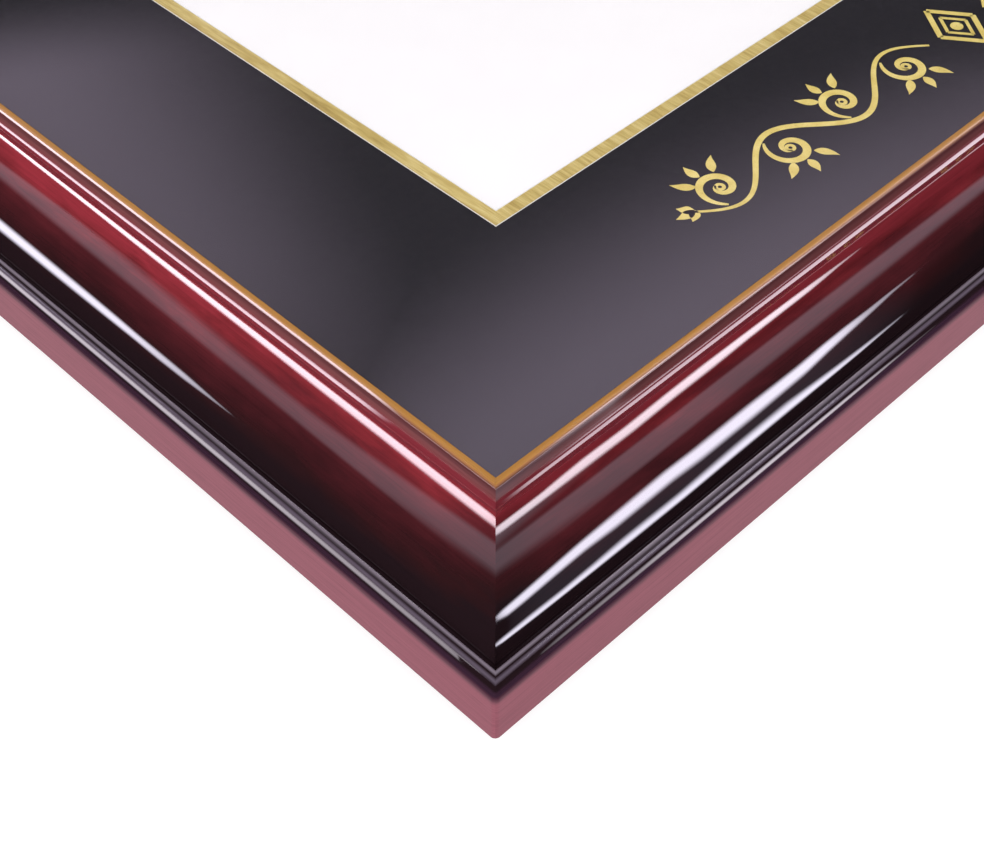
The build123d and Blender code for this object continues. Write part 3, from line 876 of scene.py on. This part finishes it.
strip("streak_low", [
    ((515, -1266, 1261), (515, -1202, 1313), 0.5), ((526, -1300, 1225), (526, -1173, 1329), 1),
    ((549, -1306, 1207), (549, -1161, 1327), 1), ((572, -1311, 1189), (572, -1150, 1325), 1),
    ((616, -1310, 1165), (617, -1152, 1300), 1), ((659, -1309, 1141), (660, -1128, 1295), 1),
    ((701, -1306, 1116), (702, -1085, 1302), 1), ((782, -1287, 1080), (782, -1075, 1262), 1),
    ((857, -1246, 1067), (858, -997, 1268), 1), ((929, -1213, 1044), (929, -963, 1242), 1),
    ((962, -1194, 1035), (963, -1001, 1194), 1), ((995, -1177, 1024), (996, -1030, 1149), 0.9),
    ((1027, -1156, 1017), (1028, -1051, 1109), 0.7), ((1058, -1123, 1022), (1058, -1056, 1081), 0.4),
    ((1081, -1098, 1025), (1081, -1057, 1061), 0.15)], 21.5, COOL, ALONG_X, (0.32, 0.62), 0.02)
strip("streak_haze", [
    ((515, -1330, 1190), (538, -640, 1590), 0.4), ((572, -1345, 1150), (572, -560, 1600), 1),
    ((660, -1350, 1100), (660, -440, 1590), 1), ((782, -1325, 1040), (782, -345, 1545), 1),
    ((929, -1250, 1000), (929, -400, 1440), 1), ((1028, -1190, 985), (1028, -420, 1385), 0.4),
    ((1090, -1130, 995), (1090, -440, 1345), 0.0)], 0.42, (0.80, 0.74, 1.0), ALONG_X, (0.3, 0.3), 0.0)
strip("streak_left", [
    ((-913, 932, 1309), (-874, 932, 1329), 0.1), ((-938, 959, 1278), (-841, 959, 1329), 0.35),
    ((-977, 993, 1232), (-781, 993, 1334), 0.6), ((-985, 1026, 1204), (-760, 1026, 1322), 0.75),
    ((-969, 1057, 1192), (-752, 1057, 1304), 0.9), ((-970, 1088, 1168), (-720, 1088, 1297), 1),
    ((-965, 1118, 1148), (-700, 1118, 1284), 1), ((-961, 1162, 1117), (-671, 1162, 1264), 1),
    ((-946, 1230, 1072), (-631, 1230, 1229), 1), ((-918, 1323, 1011), (-587, 1323, 1175), 1),
    ((-881, 1432, 937), (-541, 1432, 1103), 1)], 21.0, COOL, ALONG_Y, (0.4, 0.4), -0.02)
# low on both sides of the corner: the lines on the bead
strip("edge_left", [
    ((-1851, 533, 300), (-1617, 534, 902), 0.5), ((-1840, 568, 285), (-1593, 569, 915), 0.6),
    ((-1809, 647, 280), (-1566, 648, 898), 0.68), ((-1770, 733, 286), (-1535, 734, 877), 0.74),
    ((-1720, 833, 289), (-1488, 834, 859), 0.9), ((-1645, 969, 287), (-1415, 970, 836), 1),
    ((-1548, 1127, 279), (-1335, 1128, 781), 1), ((-1434, 1294, 266), (-1241, 1295, 716), 1),
    ((-1331, 1434, 254), (-1156, 1435, 657), 1)], 10.5, PINK, ALONG_Y, (0.4, 0.4), 0.02)
strip("edge_right", [
    ((528, -1825, 194), (528, -1777, 444), 0.1), ((573, -1814, 96), (574, -1723, 558), 0.25),
    ((618, -1798, 51), (619, -1693, 586), 0.35), ((682, -1770, 8), (683, -1662, 587), 0.5),
    ((744, -1741, -17), (745, -1635, 576), 0.85), ((859, -1682, -15), (860, -1581, 555), 0.95),
    ((930, -1643, 21), (931, -1550, 525), 0.95), ((981, -1613, 47), (982, -1531, 490), 0.8),
    ((1029, -1583, 85), (1030, -1517, 440), 0.45), ((1060, -1559, 138), (1060, -1524, 349), 0.2),
    ((1097, -1530, 189), (1098, -1512, 292), 0.05)], 12.0, PINK, ALONG_X, (0.4, 0.45), 0.02)
# beyond the frame: the bright lines on the inner slopes
strip("window_right", [
    ((577, 1129, 975), (576, 1197, 878), 0.3), ((605, 1087, 1012), (603, 1227, 805), 1),
    ((670, 1061, 1000), (667, 1200, 798), 1), ((701, 1046, 997), (697, 1209, 754), 1),
    ((731, 1034, 988), (727, 1211, 720), 1), ((790, 1003, 981), (786, 1174, 728), 1),
    ((846, 1011, 926), (842, 1171, 672), 1), ((899, 996, 898), (895, 1153, 643), 1),
    ((950, 996, 849), (947, 1119, 647), 1), ((999, 977, 827), (996, 1085, 652), 0.95),
    ((1023, 965, 819), (1020, 1066, 657), 0.85), ((1046, 968, 790), (1044, 1044, 667), 0.65),
    ((1068, 977, 751), (1067, 1020, 682), 0.45), ((1097, 975, 721), (1096, 994, 689), 0.1)], 12.0, PINK, ALONG_X, (0.35, 0.35), 0.2)
strip("window_left", [
    ((1218, 609, 786), (1321, 607, 558), 0.3), ((1196, 632, 808), (1328, 628, 513), 0.8),
    ((1188, 653, 803), (1328, 649, 483), 1), ((1171, 717, 777), (1308, 712, 455), 1),
    ((1152, 796, 735), (1273, 792, 442), 1), ((1124, 872, 705), (1237, 868, 432), 1),
    ((1101, 943, 666), (1200, 939, 421), 1), ((1077, 1009, 629), (1163, 1006, 411), 1),
    ((1051, 1072, 596), (1127, 1069, 401), 1), ((1030, 1131, 553), (1091, 1129, 390), 1),
    ((1008, 1187, 511), (1056, 1185, 380), 1), ((959, 1277, 467), (996, 1275, 364), 0.9),
    ((909, 1364, 424), (936, 1363, 346), 0.7)], 11.0, PINK, ALONG_Y, (0.35, 0.35), 0.2)


def low_panel(name, away, boxes, only):
    """A bright panel standing on the floor straight ahead: it lights the bevel, the nose and the lip.
    A box is (across from, to, height from, to, level, softness of its sides), in mm."""
    k = Nodes(name)
    x, y, _ = k.sep(k.attr("spot"))
    total = 0.0
    for x0, x1, y0, y1, level, w in boxes:
        box = k.math("MULTIPLY", k.span(x, x0 - 35, x0 + 35, 0, 1, True), k.span(x, x1 - w, x1 + w, 1, 0, True))
        box = k.math("MULTIPLY", box, k.math("MULTIPLY", k.span(y, y0 - 20, y0 + 20, 0, 1, True),
                                             k.span(y, y1 - 20, y1 + 20, level, 0, True)))
        total = k.math("ADD", box, total)
    glow(k, total, PINK)
    bm = bmesh.new()
    spot = bm.verts.layers.float_vector.new("spot")
    d = Vector((cos(radians(46)), sin(radians(46)), 0.0))
    a = Vector((-d.y, d.x, 0.0))
    o = Vector((-HX + 30, -HY + 30, 0.0))
    corners = []
    for x, y in ((-700, 4), (700, 4), (700, 460), (-700, 460)):
        v = bm.verts.new((o + (d * 2000 + a * x + Vector((0, 0, y))) * away) * MM)
        v[spot] = (x, y, 0)
        corners.append(v)
    bm.faces.new(corners)
    me = bpy.data.meshes.new(name)
    bm.to_mesh(me)
    bm.free()
    me.materials.append(k.mat)
    stage_lamp(name, me, only)


low_panel("low_right", 1.00, [(-400, 560, 30, 215, 4.2, 35), (-400, 455, 300, 410, 4.6, 70)], ALONG_X)
low_panel("low_left", 1.04, [(-455, 420, 180, 410, 6.4, 35)], ALONG_Y)
low_panel("low_lips", 1.08, [(-455, 430, 25, 130, 1.3, 60)], LIPS)


def apron():
    """White table round the frame, as the sides of the frame see it: bright close by, lost further out."""
    k = Nodes("apron")
    far = k.sep(k.attr("spot"))[0]
    glow(k, k.span(far, 9.5, 20.0, 0.32, 0.0, True), (1.0, 0.99, 1.0))
    bm = bmesh.new()
    spot = bm.verts.layers.float_vector.new("spot")
    rings = []
    for d in (-6.0, 0.0, 10.0, 18.0, 24.0, 30.0, 36.0, 42.0):
        row = []
        for v in ring(bm, (HX + d) * MM, (HY + d) * MM, 0.4 * MM):
            v[spot] = (d, 0, 0)
            row.append(v)
        rings.append(row)
    for p, q in zip(rings, rings[1:]):
        skirt(bm, p, q, 0)
    me = bpy.data.meshes.new("apron")
    bm.to_mesh(me)
    bm.free()
    me.materials.append(k.mat)
    stage_lamp("apron", me, ALONG_X + ALONG_Y)


apron()


def glow_panel(name, pane):
    """A broad dim screen far beyond the frame, soft at its edges and darker low in its middle, once for the pane
    and once for the moulding. The attribute sky holds each point's bearing and height in degrees."""
    k = Nodes(name)
    az, el, _ = k.sep(k.attr("sky"))
    edge = k.math("MULTIPLY", k.span(az, 12, 20, 0, 1, True), k.span(az, 67, 75, 1, 0, True))
    edge = k.math("MULTIPLY", edge, k.math("MULTIPLY", k.span(el, 31, 34, 0, 1, True), k.span(el, 55, 62, 1, 0, True)))
    if pane:
        right = k.math("SUBTRACT", az, k.math("MULTIPLY", k.math("SUBTRACT", el, 40.0), 2.2))
        left = k.math("ADD", az, k.math("MULTIPLY", k.math("SUBTRACT", el, 38.0), 0.6))
        left = k.math("MULTIPLY", k.span(left, 49.6, 62.0, 0, 0.84, True), k.span(el, 40.0, 47.0, 1, 0.6, True))
        level = k.math("MAXIMUM", k.span(right, 27.0, 46.5, 1.07, 0, True), left)
        glow(k, k.math("MULTIPLY", edge, level), (0.93, 0.76, 1.0))
    else:
        right = k.math("SUBTRACT", az, k.math("MULTIPLY", k.math("SUBTRACT", el, 40.0), 2.2))
        bay = k.math("MULTIPLY", k.span(right, 32.0, 41.5, 0, 1, True), k.span(az, 49.5, 59.0, 1, 0, True))
        bay = k.math("MULTIPLY", bay, k.span(el, 41.5, 48.5, 1, 0, True))
        glow(k, k.math("MULTIPLY", k.math("MULTIPLY", edge, k.math("SUBTRACT", 1.0, bay)), 1.25), (1.0, 0.90, 1.07))
    bm = bmesh.new()
    sky = bm.verts.layers.float_vector.new("sky")
    rows = []
    for i in range(21):
        row = []
        for j in range(35):
            a, e = 10 + 2.0 * j, 29 + 1.75 * i
            v = bm.verts.new(CORNER + toward(a, e) * (7.6 if pane else 8.0))
            v[sky] = (a, e, 0)
            row.append(v)
        rows.append(row)
    for p, q in zip(rows, rows[1:]):
        for j in range(34):
            bm.faces.new((p[j], p[j + 1], q[j + 1], q[j]))
    me = bpy.data.meshes.new(name)
    bm.to_mesh(me)
    bm.free()
    me.materials.append(k.mat)
    stage_lamp(name, me, ["glass_pane"] if pane else ALONG_X + ALONG_Y + LIPS)


glow_panel("glow_panel", False)
glow_panel("pane_glow", True)


def metal_room():
    """The pale room that the bright hardware on the back mirrors: lighter overhead, with two soft windows."""
    k = Nodes("metal_room")
    x, y, z = k.sep(k.attr("sky"))
    level = k.span(z, -0.8, 0.9, 0.62, 1.05, True)
    for axis in (x, y):
        level = k.math("ADD", level, k.span(k.math("ABSOLUTE", axis), 0.55, 0.80, 0.0, 0.7, True))
    glow(k, level, (1.0, 0.99, 0.98))
    bm = bmesh.new()
    bmesh.ops.create_uvsphere(bm, u_segments=32, v_segments=16, radius=6.0)
    sky = bm.verts.layers.float_vector.new("sky")
    for v in bm.verts:
        v[sky] = v.co / 6.0
    me = bpy.data.meshes.new("metal_room")
    bm.to_mesh(me)
    bm.free()
    me.materials.append(k.mat)
    stage_lamp("metal_room", me, METAL)


metal_room()

cam_data = bpy.data.cameras.new("camera")
cam = bpy.data.objects.new("camera", cam_data)
scene.collection.objects.link(cam)
cam_data.sensor_fit = "HORIZONTAL"
cam_data.sensor_width = 36.0
cam_data.lens = 1749.9 / 984.0 * 36.0
cam_data.clip_start = 0.01
cam_data.clip_end = 100.0
cam.location = Vector((-HX - 121.25, -HY - 120.75, BACK + 267.72)) * MM
yaw, pitch, rollang = radians(45.093), radians(47.215), radians(0.058)
look = Vector((cos(pitch) * cos(yaw), cos(pitch) * sin(yaw), -sin(pitch)))
right = Vector((sin(yaw), -cos(yaw), 0.0))
up = right.cross(look)
r2 = right * cos(rollang) + up * sin(rollang)
u2 = -right * sin(rollang) + up * cos(rollang)
rot = Matrix((r2, u2, -look)).transposed()
cam.rotation_euler = rot.to_euler()
scene.camera = cam
